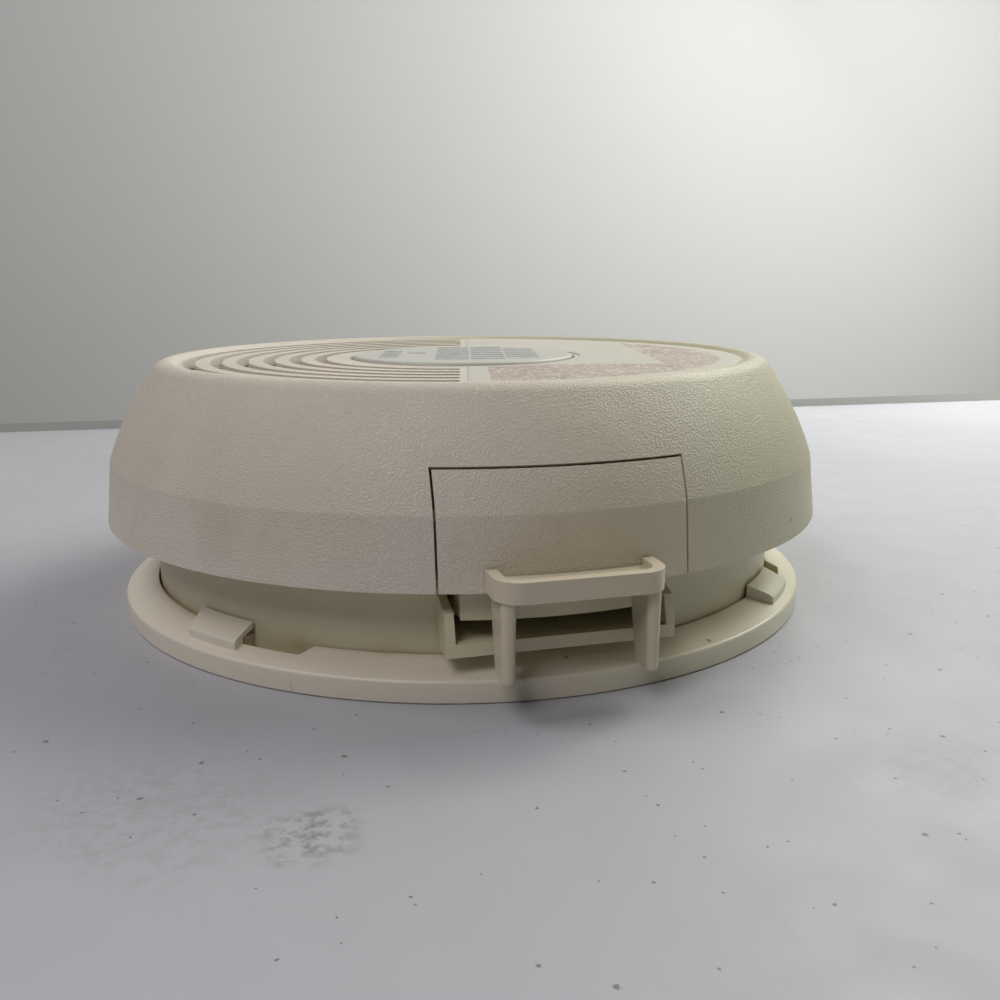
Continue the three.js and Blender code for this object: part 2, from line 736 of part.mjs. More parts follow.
pieces('board_screw', boardScrews(), 'steel');

export default alarm;
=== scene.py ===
"""Looks of the smoke alarm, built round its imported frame. Sizes are in millimetres until a mesh is made."""
import json
import math

import bmesh
import bpy
from mathutils import Euler, Matrix, Quaternion, Vector


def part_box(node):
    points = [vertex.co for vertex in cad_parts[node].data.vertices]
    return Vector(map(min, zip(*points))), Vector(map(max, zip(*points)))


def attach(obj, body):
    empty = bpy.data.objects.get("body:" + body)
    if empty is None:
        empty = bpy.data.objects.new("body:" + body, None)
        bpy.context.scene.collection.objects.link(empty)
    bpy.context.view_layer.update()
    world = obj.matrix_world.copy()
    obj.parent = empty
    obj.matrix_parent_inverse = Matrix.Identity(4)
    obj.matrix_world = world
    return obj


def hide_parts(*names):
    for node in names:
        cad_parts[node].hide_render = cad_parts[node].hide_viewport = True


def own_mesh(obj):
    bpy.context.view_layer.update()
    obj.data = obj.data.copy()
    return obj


MM = 0.001

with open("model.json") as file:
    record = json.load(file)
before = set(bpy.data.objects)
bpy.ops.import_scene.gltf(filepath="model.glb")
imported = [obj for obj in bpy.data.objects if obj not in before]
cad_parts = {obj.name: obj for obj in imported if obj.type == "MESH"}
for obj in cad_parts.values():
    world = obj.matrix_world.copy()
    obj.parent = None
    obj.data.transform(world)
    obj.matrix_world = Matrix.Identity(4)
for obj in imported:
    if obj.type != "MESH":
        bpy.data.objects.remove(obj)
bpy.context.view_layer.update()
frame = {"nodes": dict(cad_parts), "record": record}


def corners(node):
    """Lowest and highest corner of a CAD node, in millimetres."""
    low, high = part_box(node)
    return low / MM, high / MM


# ---- sizes in millimetres, from the frame and a few named proportions ----
# Turns are in degrees, counted from -Y towards +X. HEM, BELT, RIM, SHOULDER, RING_EDGE and RING_BORE
# are (radius, height) pairs. BAY_FLOOR and BUTTON_FLANGE are (low, high) heights.
COVER_HIGH = corners("cover")[1]
RING_HIGH = corners("mounting_bracket")[1]
BASE_LOW, BASE_HIGH = corners("base_housing")
DRAWER_LOW, DRAWER_HIGH = corners("battery_drawer")
PULL_LOW, PULL_HIGH = corners("drawer_pull")
BUTTON_LOW, BUTTON_HIGH = corners("test_button")

HEM = (COVER_HIGH.x, 18.3)
BELT = (HEM[0] - 1.2, 29.7)
CREST_TOP = COVER_HIGH.z
RIM_RADIUS = 3.4
RIM_STEPS = 9
RIM = (59.38, CREST_TOP - RIM_RADIUS)
SHOULDER = (62.22, 46.57)
FLANK_BULGE = 0.75
WALL = 2.0
FACE = CREST_TOP - 0.8
RECESS = 57.6

SPLIT = -12.75
SLOT_COUNT = 6
SLOT_FIRST = 56.5
SLOT_PITCH = 5.15
SLOT_WIDTH = 2.4
SLOT_INSET = 0.6
BUTTON_HOLE = 23.5
SPOKES = 5
SPOKE_HALF = 0.8
SPOKE_DEPTH = 1.4
COVER_STEPS = (120, 6, 28, 112)

DOOR_HALF = DRAWER_HIGH.x
DOOR_TOP = DRAWER_HIGH.z
DOOR_GAP = 0.38
TRAY_HALF = 16.0
TRAY_WALL = 1.5

RING_RADIUS = RING_HIGH.x
RING_EDGE = (RING_RADIUS - 0.6, 3.8)
RING_SKIN = 1.6
RING_BORE = (63.8, 5.8)
RING_OPENING = 27.0
RING_HOLLOW = 68.2
POCKET_RADIUS = 66.2
HOOK_STARTS = (-56.4, 43.5, 123.6, 223.5)
HOOK_TURN = 10.0
HOOK_END = 1.3
HOOK_LEAN = 2.0
NOTCH_TURN = 10.5
HOOK_INNER = 63.9
# Each keyhole in the ring: its turn, and the distance of its slot from the axis.
KEYHOLES = ((0, 44.45), (90, 41.65), (180, 44.45), (270, 41.65))
KEYHOLE_RUN = 4.5
KEYHOLE_SLOT = 2.3
KEYHOLE_ENTRY = 4.4

BASE_RADIUS = 63.4
BASE_WALL = 1.6
BASE_FLANGE = 17.2
BASE_LIP = 21.5
BASE_STEPS = (208, 32)
SCREW_HOLE = 3.3
BAY_HALF = 17.1
BAY_WALL = 1.45
BAY_FRONT = -68.3
BAY_BACK = -10.0
BAY_TOP = 24.0
BAY_FLOOR = (7.6, 9.3)
BAY_BAR = 9.7
SKIRT = 68.4

LABEL_INNER = 24.6
LABEL_OUTER = 56.9
LABEL_INSET = 0.9
LABEL_STRIP = 4.5
LABEL_EDGE = 52.8
LABEL_BARE = (38.5, -22.5)
LABEL_ROW = 2.1
BUTTON_ROW = 5.2
# Each printed block on the button: left, right, low and high edge.
BUTTON_BLOCKS = ((-17, -13.1, -9, 11), (-11.7, -7.8, 0.5, 6), (-5.6, 1.2, -15, 21), (1.6, 8.4, -15, 20),
                 (8.8, 15.3, -13, 14))
BUTTON_RADIUS = 23.0
BUTTON_FLANGE = (43.3, 44.9)
BUTTON_ROUNDING = 0.8
SPRING_WIRE = 0.35
SPRING_TURNS = 5
BELT_SMUDGE = (-51, -50, 25)
FLANK_STAIN = (-60, -30, 34)
# Centre of a painted shade, darker and yellower, on the lower middle of the drawer's door.
DOOR_SHADE = (3, -73, 21)

PULL_WALL = 1.8
PULL_BOTTOM = 18.75
PULL_CORNER = 4.2
PULL_BACK = -69.5
PULL_LEG = (11.15, -76.4)

# ---- camera, stage and lights, with lengths in metres unless a comment says otherwise ----
CAMERA_PLACE = (-0.04706, -0.20795, 0.06397)
CAMERA_AIM = (0.24944, 0.94345, -0.21835)
CAMERA_ROLL = -0.27
# Focal length in millimetres, on a sensor 36 mm wide.
CAMERA_LENS = 36.2

FAR_EDGE = Vector((0.10, 0.2395, 0))
FAR_EDGE_TURN = math.radians(-3.4)
FAR_EDGE_OUT = Vector((-math.sin(FAR_EDGE_TURN), math.cos(FAR_EDGE_TURN), 0))
FLOOR_SIZE = (4, 1.6)
# Height of a thin darker strip standing at the table's far edge: a painted shadow line where the table ends.
SHADE_STRIP_HEIGHT = 0.0036
WALL_SIZE = (6, 3)
WALL_DISTANCE = 0.5
# Each scuff on the table: its centre and radius in millimetres, and its strength.
SCUFFS = (((-41, -99, 0), 8.5, 0.6), ((-60, -88, 0), 24, 0.16), ((40, -104, 0), 20, 0.1))

MIDDLE = (0, 0, 0.03)
WALL_FOOT = (0.42, 0.74, -0.02)
# Each light: name, place, target, size, power in watts and colour.
LIGHTS = (
    ("right_panel", (0.6, 0.1, 0.6), MIDDLE, 0.45, 2.8, (0.98, 1.0, 0.93)),
    ("back_right_panel", (0.5, 0.36, 0.55), MIDDLE, 0.45, 2.2, (0.98, 1.0, 0.93)),
    ("left_panel", (-0.47, 0.06, 0.78), MIDDLE, 0.4, 2.0, (1.0, 0.955, 1.0)),
    ("front_left_fill", (-0.4, -0.48, 0.66), MIDDLE, 0.35, 2.1, (1.0, 0.96, 1.0)),
    ("wall_wash", (0.6, 0.2, 0.36), WALL_FOOT, 0.5, 3.8, (1.0, 1.0, 0.98)),
)
SKY = (1.0, 0.98, 0.96, 1)
SKY_STRENGTH = 0.05


# ---- materials ----
def add_node(tree, kind, inputs=None, **settings):
    """A shader node. An input is either a value or the socket that feeds it."""
    made = tree.nodes.new(kind)
    for name, value in settings.items():
        setattr(made, name, value)
    for name, value in (inputs or {}).items():
        if isinstance(value, bpy.types.NodeSocket):
            tree.links.new(value, made.inputs[name])
        else:
            made.inputs[name].default_value = value
    return made


def material(name, **constants):
    """A new principled material, its tree, its shader and the object's own coordinates."""
    made = bpy.data.materials.new(name)
    made.use_nodes = True
    tree = made.node_tree
    shader = tree.nodes["Principled BSDF"]
    for socket, value in constants.items():
        shader.inputs[socket.replace("_", " ")].default_value = value
    place = add_node(tree, "ShaderNodeTexCoord").outputs["Object"]
    return made, tree, shader, place


def noise(tree, place, size, detail=3.0, rough=0.5):
    """Noise with features about size millimetres across."""
    inputs = {"Vector": place, "Scale": 1 / (size * MM), "Detail": detail, "Roughness": rough}
    return add_node(tree, "ShaderNodeTexNoise", inputs).outputs["Fac"]


def cells(tree, place, size, dimensions):
    """Voronoi cells about size millimetres across."""
    inputs = {"Vector": place, "Scale": 1 / (size * MM)}
    return add_node(tree, "ShaderNodeTexVoronoi", inputs, voronoi_dimensions=dimensions)


def ramp(tree, value, low, high, out_low=0.0, out_high=1.0):
    """Value's stretch from low to high, eased at both ends, as out_low to out_high."""
    inputs = {"Value": value, "From Min": low, "From Max": high, "To Min": out_low, "To Max": out_high}
    return add_node(tree, "ShaderNodeMapRange", inputs, interpolation_type="SMOOTHSTEP").outputs["Result"]


def blend(tree, share, first, second):
    """Colour first, going over to second as share grows."""
    made = add_node(tree, "ShaderNodeMix", data_type="RGBA")
    for socket, value in ((made.inputs[0], share), (made.inputs[6], first), (made.inputs[7], second)):
        if isinstance(value, bpy.types.NodeSocket):
            tree.links.new(value, socket)
        else:
            socket.default_value = value
    return made.outputs[2]


def calc(tree, operation, first, second=0.0):
    """One step of arithmetic. Each side of it is a number or a socket."""
    made = add_node(tree, "ShaderNodeMath", operation=operation)
    for socket, value in zip(made.inputs, (first, second)):
        if isinstance(value, bpy.types.NodeSocket):
            tree.links.new(value, socket)
        else:
            socket.default_value = value
    return made.outputs[0]


def rgb(red, green, blue):
    """A linear colour from 0 to 255 values."""
    def linear(part):
        part /= 255
        return part / 12.92 if part <= 0.04045 else ((part + 0.055) / 1.055) ** 2.4
    return (linear(red), linear(green), linear(blue), 1.0)


GRIME = rgb(138, 126, 104)
DIRT = rgb(74, 62, 48)
# Yellow-brown of stains, also used for the painted shade on the door.
STAIN_AND_SHADE = rgb(176, 148, 92)


def bump(tree, height, depth, strength=1.0, normal=None):
    """A normal shaped by a height, depth millimetres deep, on top of another normal if one is given."""
    inputs = {"Height": height, "Distance": depth * MM, "Strength": strength}
    if normal is not None:
        inputs["Normal"] = normal
    return add_node(tree, "ShaderNodeBump", inputs).outputs["Normal"]


def ragged(tree, place, size, reach):
    """Place, pushed about by up to reach millimetres by noise of a size."""
    wobble = add_node(tree, "ShaderNodeTexNoise", {"Vector": place, "Scale": 1 / (size * MM), "Detail": 3.0})
    push = add_node(tree, "ShaderNodeVectorMath", operation="MULTIPLY_ADD")
    tree.links.new(wobble.outputs["Color"], push.inputs[0])
    push.inputs[1].default_value = (reach * MM, reach * MM, reach * MM)
    tree.links.new(place, push.inputs[2])
    return push.outputs[0]


def specks(tree, place, size, share, radius=0.05, dimensions="3D"):
    """1 on a few scattered small ragged marks, 0 elsewhere."""
    spots = cells(tree, ragged(tree, place, 0.5, 0.6), size, dimensions)
    near = ramp(tree, spots.outputs["Distance"], radius * 0.6, radius * 1.4, 1.0, 0.0)
    pick = add_node(tree, "ShaderNodeSeparateColor", {"Color": spots.outputs["Color"]}).outputs[0]
    return calc(tree, "MULTIPLY", near, calc(tree, "LESS_THAN", pick, share))


def blot(tree, place, centre, radius, raggedness=0.5):
    """A soft ragged patch round a centre: 1 inside it, 0 beyond its radius."""
    shifted = ragged(tree, place, radius * 0.4, radius * raggedness)
    apart = add_node(tree, "ShaderNodeVectorMath", operation="DISTANCE")
    tree.links.new(shifted, apart.inputs[0])
    apart.inputs[1].default_value = [(part + radius * raggedness / 2) * MM for part in centre]
    return ramp(tree, apart.outputs["Value"], 0.25 * radius * MM, radius * MM, 1.0, 0.0)


def axes(tree, place, turn=0.0):
    """The x, y and z of place, in axes turned clockwise about Z by a number of degrees."""
    inputs = {"Vector": place, "Rotation": (0, 0, math.radians(turn))}
    turned = add_node(tree, "ShaderNodeMapping", inputs).outputs[0]
    return add_node(tree, "ShaderNodeSeparateXYZ", {"Vector": turned}).outputs


def off_axis(tree, place):
    """Distance from the alarm's own axis."""
    flat = add_node(tree, "ShaderNodeMapping", {"Vector": place, "Scale": (1, 1, 0)}).outputs[0]
    length = add_node(tree, "ShaderNodeVectorMath", operation="LENGTH")
    tree.links.new(flat, length.inputs[0])
    return length.outputs["Value"]


def within(tree, value, low, high, soft=0.2):
    """1 where value lies between low and high millimetres, 0 outside."""
    rise = ramp(tree, value, (low - soft) * MM, (low + soft) * MM)
    fall = ramp(tree, value, (high - soft) * MM, (high + soft) * MM, 1.0, 0.0)
    return calc(tree, "MULTIPLY", rise, fall)


def stripes(tree, value, pitch, share):
    """1 on a share of every pitch millimetres of value."""
    part = calc(tree, "FRACT", calc(tree, "MULTIPLY", value, 1 / (pitch * MM)))
    return ramp(tree, part, share, share + 0.06, 1.0, 0.0)


def aged_and_right_lit(tree, place, colour, yellowed_and_light_tint):
    """Colour with faint broad yellowing in patches, a painted yellow tint of the light from the right that
    grows towards +X, and finer grime.
    """
    patches = ramp(tree, noise(tree, place, 48, 2), 0.35, 0.7, 0.0, 0.3)
    # Painted light: the side towards +X is tinted yellower, as the yellowish light from the right tints it.
    right_light_tint = ramp(tree, axes(tree, place)[0], -38 * MM, 62 * MM, 0.0, 0.9)
    body = blend(tree, calc(tree, "MAXIMUM", patches, right_light_tint), colour, yellowed_and_light_tint)
    grime = ramp(tree, noise(tree, place, 5.5, 5, 0.65), 0.5, 0.78, 0.0, 0.1)
    return blend(tree, grime, body, GRIME)


def worn(tree, place, shader, roughness):
    """Roughness that drifts over the surface."""
    wear = ramp(tree, noise(tree, place, 16, 4, 0.6), 0.3, 0.75, roughness - 0.05, roughness + 0.08)
    tree.links.new(wear, shader.inputs["Roughness"])


def pebbled(tree, place, shader, size, depth):
    """Moulded leather grain: close low pebbles on a slightly uneven wall."""
    pebbles = ramp(tree, noise(tree, place, size, 2, 0.6), 0.36, 0.64)
    wave = bump(tree, noise(tree, place, 11, 1), 0.04, 0.5)
    tree.links.new(bump(tree, pebbles, depth, 1.0, wave), shader.inputs["Normal"])


def plastic(name, colour, yellowed_and_light_tint, roughness, grain_size, grain_depth, speck_share, marks=()):
    """Moulded plastic: grain, faint yellowing, a painted yellow light tint on the +X side, a few dark specks
    and any blots in marks.
    """
    made, tree, shader, place = material(name)
    body = aged_and_right_lit(tree, place, colour, yellowed_and_light_tint)
    for centre, radius, tint, strength in marks:
        share = calc(tree, "MULTIPLY", blot(tree, place, centre, radius), strength)
        body = blend(tree, share, body, tint)
    dots = calc(tree, "MULTIPLY", specks(tree, place, 7.5, speck_share), 0.6)
    tree.links.new(blend(tree, dots, body, DIRT), shader.inputs["Base Color"])
    worn(tree, place, shader, roughness)
    pebbled(tree, place, shader, grain_size, grain_depth)
    return made


def ring_plastic(name, colour, yellowed_and_light_tint, roughness):
    """Smooth moulded plastic that has yellowed where the ring meets the housing's wall."""
    made, tree, shader, place = material(name)
    body = aged_and_right_lit(tree, place, colour, yellowed_and_light_tint)
    crevice = within(tree, off_axis(tree, place), 62.6, 64.4, 1.1)
    low = within(tree, axes(tree, place)[2], 0.5, 7.0, 1.5)
    patchy = ramp(tree, noise(tree, place, 14, 3), 0.42, 0.66, 0.05, 0.4)
    stain = calc(tree, "MULTIPLY", calc(tree, "MULTIPLY", crevice, low), patchy)
    body = blend(tree, stain, body, STAIN_AND_SHADE)
    dots = calc(tree, "MULTIPLY", specks(tree, place, 9, 0.2), 0.6)
    tree.links.new(blend(tree, dots, body, DIRT), shader.inputs["Base Color"])
    worn(tree, place, shader, roughness)
    pebbled(tree, place, shader, 1.6, 0.008)
    return made


def printed_label(name, film, ink):
    """Printed film: rows of worn dashes in an L round the bare corner beside the button."""
    made, tree, shader, place = material(name)
    across, along, _ = axes(tree, place, -SPLIT)
    row = calc(tree, "FLOOR", calc(tree, "MULTIPLY", along, 1 / (LABEL_ROW * MM)))
    cell = add_node(tree, "ShaderNodeCombineXYZ", {"X": across, "Y": calc(tree, "MULTIPLY", row, 0.013)})
    dashes = ramp(tree, noise(tree, cell.outputs[0], 1.1, 3, 0.7), 0.41, 0.47)
    gaps = ramp(tree, noise(tree, cell.outputs[0], 6, 1), 0.3, 0.36)
    worn_off = ramp(tree, noise(tree, place, 2.2, 4, 0.7), 0.34, 0.6, 0.35, 1.0)
    front = calc(tree, "LESS_THAN", along, LABEL_BARE[1] * MM)
    side = calc(tree, "GREATER_THAN", across, LABEL_BARE[0] * MM)
    area = calc(tree, "MAXIMUM", front, side)
    area = calc(tree, "MULTIPLY", area, calc(tree, "GREATER_THAN", across, LABEL_STRIP * MM))
    area = calc(tree, "MULTIPLY", area, within(tree, off_axis(tree, place), 26.5, LABEL_EDGE, 0.3))
    share = stripes(tree, along, LABEL_ROW, 0.62)
    for part in (dashes, gaps, worn_off, area):
        share = calc(tree, "MULTIPLY", share, part)
    body = aged_and_right_lit(tree, place, film[0], film[1])
    tint = calc(tree, "MULTIPLY", area, 0.4)
    body = blend(tree, tint, body, ink[1])
    body = blend(tree, calc(tree, "MULTIPLY", share, 0.9), body, ink[0])
    tree.links.new(body, shader.inputs["Base Color"])
    worn(tree, place, shader, 0.5)
    pebbled(tree, place, shader, 0.8, 0.01)
    return made


def printed_button(name, cap, ink):
    """Pale button with five plain printed blocks of dashes across its middle."""
    made, tree, shader, place = material(name)
    across, along, height = axes(tree, place, -SPLIT)
    area = 0.0
    for left, right, low, high in BUTTON_BLOCKS:
        block_area = calc(tree, "MULTIPLY", within(tree, across, left, right), within(tree, along, low, high))
        area = calc(tree, "MAXIMUM", block_area, area)
    rows = stripes(tree, along, BUTTON_ROW, 0.62)
    worn_off = ramp(tree, noise(tree, place, 1.6, 3), 0.35, 0.55, 0.45, 1.0)
    share = calc(tree, "MULTIPLY", calc(tree, "MULTIPLY", area, rows), worn_off)
    share = calc(tree, "MULTIPLY", share, calc(tree, "GREATER_THAN", height, (BUTTON_HIGH.z - 0.3) * MM))
    body = blend(tree, calc(tree, "MULTIPLY", share, 0.85), aged_and_right_lit(tree, place, *cap), ink)
    tree.links.new(body, shader.inputs["Base Color"])
    worn(tree, place, shader, 0.42)
    pebbled(tree, place, shader, 0.6, 0.02)
    return made


def metal(name, colour, roughness):
    """Plated or plain metal with a fine drawn grain."""
    made, tree, shader, place = material(name, Metallic=1.0)
    stretched = add_node(tree, "ShaderNodeMapping", {"Vector": place, "Scale": (1.0, 1.0, 0.08)}).outputs[0]
    lines = noise(tree, stretched, 0.3, 4)
    tone = ramp(tree, noise(tree, place, 4, 3), 0.3, 0.7, 0.0, 0.35)
    dull = tuple(0.72 * part for part in colour[:3]) + (1.0,)
    tree.links.new(blend(tree, tone, colour, dull), shader.inputs["Base Color"])
    tree.links.new(ramp(tree, lines, 0.2, 0.8, roughness - 0.08, roughness + 0.1), shader.inputs["Roughness"])
    tree.links.new(bump(tree, lines, 0.01, 0.4), shader.inputs["Normal"])
    return made


def coated(name, colour, roughness, **constants):
    """Glossy coat or sleeve: slight colour drift and an uneven skin."""
    made, tree, shader, place = material(name, **constants)
    drift = ramp(tree, noise(tree, place, 3, 3), 0.3, 0.7, 0.0, 0.3)
    darker = tuple(0.6 * part for part in colour[:3]) + (1.0,)
    tree.links.new(blend(tree, drift, colour, darker), shader.inputs["Base Color"])
    tree.links.new(ramp(tree, noise(tree, place, 1.5, 2), 0.3, 0.7, roughness, roughness + 0.12),
                   shader.inputs["Roughness"])
    tree.links.new(bump(tree, noise(tree, place, 1.2, 2), 0.03, 0.5), shader.inputs["Normal"])
    return made


# The door's blot is painted shade; the belt smudge and the flank stain are marks on the plastic.
cover_plastic = plastic("cover_plastic", rgb(216, 207, 192), rgb(187, 183, 148), 0.38, 0.34, 0.06, 0.3,
                        ((BELT_SMUDGE, 7, GRIME, 0.12), (FLANK_STAIN, 12, STAIN_AND_SHADE, 0.08),
                         (DOOR_SHADE, 21, STAIN_AND_SHADE, 0.2)))
base_plastic = ring_plastic("base_plastic", rgb(228, 220, 202), rgb(216, 211, 183), 0.34)
housing_plastic = ring_plastic("housing_plastic", rgb(217, 209, 178), rgb(206, 200, 164), 0.36)
pull_plastic = plastic("pull_plastic", rgb(205, 194, 172), rgb(192, 183, 152), 0.36, 1.4, 0.01, 0.3)
button_plastic = printed_button("button_plastic", (rgb(192, 191, 181), rgb(185, 182, 168)), rgb(98, 108, 120))
label_film = printed_label("label_film", (rgb(196, 194, 182), rgb(190, 185, 170)),
                           (rgb(134, 102, 84), rgb(196, 182, 166)))
steel = metal("steel", rgb(190, 192, 196), 0.3)
brass = metal("brass", rgb(204, 168, 92), 0.3)
black_plastic = coated("black_plastic", rgb(38, 38, 40), 0.45)
white_plastic = coated("white_plastic", rgb(226, 222, 210), 0.45)
blue_sleeve = coated("blue_sleeve", rgb(48, 84, 158), 0.25)
orange_epoxy = coated("orange_epoxy", rgb(176, 88, 44), 0.25)
resistor_paint = coated("resistor_paint", rgb(206, 184, 146), 0.3)
red_lens = coated("red_lens", rgb(190, 30, 24), 0.12, Transmission_Weight=0.4)
clear_plastic = coated("clear_plastic", rgb(226, 232, 232), 0.08, Transmission_Weight=0.85)
board_green = coated("board", rgb(44, 104, 66), 0.35)


# ---- mesh tools ----
def polar(radius, turn):
    """A point at a radius and a turn in degrees, counted from -Y towards +X."""
    angle = math.radians(turn - 90)
    return radius * math.cos(angle), radius * math.sin(angle)


def half_turn(half_width, radius):
    """The turn in degrees at which a circle reaches half_width off its centre line."""
    return math.degrees(math.asin(half_width / radius))


def circle(count):
    """Points of a circle of radius 1."""
    return [polar(1, 360 * i / count) for i in range(count)]


def steps(first, last, count):
    """Count + 1 even values from first to last."""
    return [first + (last - first) * i / count for i in range(count + 1)]


def new_object(name, points, faces):
    """A mesh object from points in millimetres, with its doubled points merged."""
    mesh = bpy.data.meshes.new(name)
    mesh.from_pydata([[part * MM for part in point] for point in points], [], faces)
    tidy = bmesh.new()
    tidy.from_mesh(mesh)
    bmesh.ops.remove_doubles(tidy, verts=tidy.verts, dist=1e-7)
    bmesh.ops.delete(tidy, geom=[v for v in tidy.verts if not v.link_faces], context="VERTS")
    tidy.to_mesh(mesh)
    tidy.free()
    made = bpy.data.objects.new(name, mesh)
    bpy.context.scene.collection.objects.link(made)
    return made


def finish_piece(piece, paint, body, replaced=(), bevel=0.0, wall=0.0, angle=38):
    """Gives a piece its wall, rounded edges, smooth shading, material and place in the frame."""
    if wall:
        skin = piece.modifiers.new("wall", "SOLIDIFY")
        skin.thickness = wall * MM
        skin.offset = -1
        skin.use_even_offset = True
    if bevel:
        edge = piece.modifiers.new("edges", "BEVEL")
        edge.width = bevel * MM
        edge.segments = 3
        edge.limit_method = "ANGLE"
        edge.angle_limit = math.radians(angle)
        edge.harden_normals = False
    for face in piece.data.polygons:
        face.use_smooth = True
    crisp = piece.modifiers.new("normals", "WEIGHTED_NORMAL")
    crisp.keep_sharp = True
    piece.data.materials.clear()
    piece.data.materials.append(paint)
    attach(piece, body)
    if replaced:
        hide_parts(*replaced)
    return piece


def revolve(name, rows, turns_at, keep=None, closed=True):
    """A sheet of revolution. A row is (radius, height), and turns_at(radius) gives its points' turns."""
    points = []
    for radius, height in rows:
        points += [(*polar(radius, turn), height) for turn in turns_at(radius)]
    count = len(turns_at(rows[0][0]))
    faces = []
    for i in range(len(rows) - 1):
        for j in range(count if closed else count - 1):
            if keep is None or keep(i, j):
                near, far = i * count, (i + 1) * count
                after = (j + 1) % count
                faces.append((near + j, near + after, far + after, far + j))
    return new_object(name, points, faces)


def even_turns(count):
    """A turns_at for revolve, with count even turns at every radius."""
    return lambda radius: [360 * i / count for i in range(count)]


def prism(outline, low, high):
    """Points and faces of an [x, y] outline, drawn anticlockwise, raised from low to high."""
    count = len(outline)
    points = [(x, y, low) for x, y in outline] + [(x, y, high) for x, y in outline]
    sides = [(i, (i + 1) % count, count + (i + 1) % count, count + i) for i in range(count)]
    return points, [tuple(range(count))[::-1], tuple(range(count, 2 * count)), *sides]


def block(x0, x1, y0, y1, z0, z1):
    """Points and faces of a box."""
    return prism([(x0, y0), (x1, y0), (x1, y1), (x0, y1)], z0, z1)


def mirror_block(side, near, far, *rest):
    """A box between two distances from the middle, to the right for side 1 and to the left for -1."""
    return block(near, far, *rest) if side > 0 else block(-far, -near, *rest)


def side_plate(outline, x0, x1):
    """Points and faces of a [y, z] outline, drawn anticlockwise seen from +X, swept from x0 to x1."""
    points, faces = prism(outline, x0, x1)
    return [(x, y, z) for y, z, x in points], faces


def turned_section(section, turn0, turn1, count, lean=0.0):
    """An (r, z) outline swept from turn0 to turn1. Its inner side can start some degrees earlier."""
    size = len(section)
    near, far = min(r for r, z in section), max(r for r, z in section)
    points = []
    for i in range(count + 1):
        for r, z in section:
            start = turn0 - lean * (far - r) / (far - near)
            points.append((*polar(r, start + (turn1 - start) * i / count), z))
    faces = [tuple(range(size)), tuple(range(count * size, (count + 1) * size))[::-1]]
    for i in range(count):
        for j in range(size):
            after = (j + 1) % size
            here, there = i * size, (i + 1) * size
            faces.append((here + j, there + j, there + after, here + after))
    return points, faces


def tube_of_sections(name, sections, closed=True):
    """A ring, or a tube with flat ends, from one closed section at each step."""
    count, size = len(sections), len(sections[0])
    points = [point for section in sections for point in section]
    faces = [] if closed else [tuple(range(size)), tuple(range((count - 1) * size, count * size))[::-1]]
    for i in range(count if closed else count - 1):
        here, there = i * size, (i + 1) % count * size
        for j in range(size):
            after = (j + 1) % size
            faces.append((here + j, there + j, there + after, here + after))
    return new_object(name, points, faces)


def column(x, y, low, high, radius):
    """Points and faces of an upright round bar."""
    return prism([(x + radius * a, y + radius * b) for a, b in circle(24)], low, high)


def turned_post(x, y, profile):
    """Points and faces of a closed post turned from an (r, z) profile that starts and ends on its axis."""
    count = 28
    points = [(x, y, profile[0][1]), (x, y, profile[-1][1])]
    for radius, height in profile[1:-1]:
        points += [(x + radius * a, y + radius * b, height) for a, b in circle(count)]
    last = 2 + (len(profile) - 3) * count
    faces = []
    for i in range(count):
        after = (i + 1) % count
        faces += [(0, 2 + after, 2 + i), (1, last + i, last + after)]
        for row in range(len(profile) - 3):
            low, high = 2 + row * count, 2 + (row + 1) * count
            faces.append((low + i, low + after, high + after, high + i))
    return points, faces


def outward(piece):
    """The same piece, with its faces pointing out."""
    tidy = bmesh.new()
    tidy.from_mesh(piece.data)
    bmesh.ops.recalc_face_normals(tidy, faces=tidy.faces)
    tidy.to_mesh(piece.data)
    tidy.free()
    return piece


def combine(target, other, operation):
    """Joins other into target, or cuts it away, and removes other."""
    cut = target.modifiers.new("combine", "BOOLEAN")
    cut.operation = operation
    cut.solver = "EXACT"
    cut.object = other
    bpy.context.view_layer.update()
    evaluated = target.evaluated_get(bpy.context.evaluated_depsgraph_get())
    mesh = bpy.data.meshes.new_from_object(evaluated)
    target.modifiers.clear()
    target.data = mesh
    bpy.data.objects.remove(other)


def fuse(name, parts, cutters=()):
    """One closed piece from overlapping parts, less the cutters."""
    whole = outward(new_object(name, *parts[0]))
    for part in parts[1:]:
        combine(whole, outward(new_object("part", *part)), "UNION")
    for cutter in cutters:
        combine(whole, outward(new_object("cutter", *cutter)), "DIFFERENCE")
    return whole


# ---- cover ----
def flank_point(along):
    """A point of the cover's bulging flank, from the belt at 0 to the rim's start at 1."""
    run = Vector((SHOULDER[0] - BELT[0], SHOULDER[1] - BELT[1]))
    out = Vector((run.y, -run.x)).normalized() * FLANK_BULGE * 4 * along * (1 - along)
    return (BELT[0] + run.x * along + out.x, BELT[1] + run.y * along + out.y)


def flank_share(height):
    """How far along the flank it reaches a height."""
    low, high = 0.0, 1.0
    for _ in range(40):
        middle = (low + high) / 2
        if flank_point(middle)[1] < height:
            low = middle
        else:
            high = middle
    return low


def belt_rows():
    """Points of the flat belt, from the hem up."""
    shares = (0.0, 0.05, 0.35, 0.68, 0.94, 0.985)
    return [(HEM[0] + (BELT[0] - HEM[0]) * s, HEM[1] + (BELT[1] - HEM[1]) * s) for s in shares]


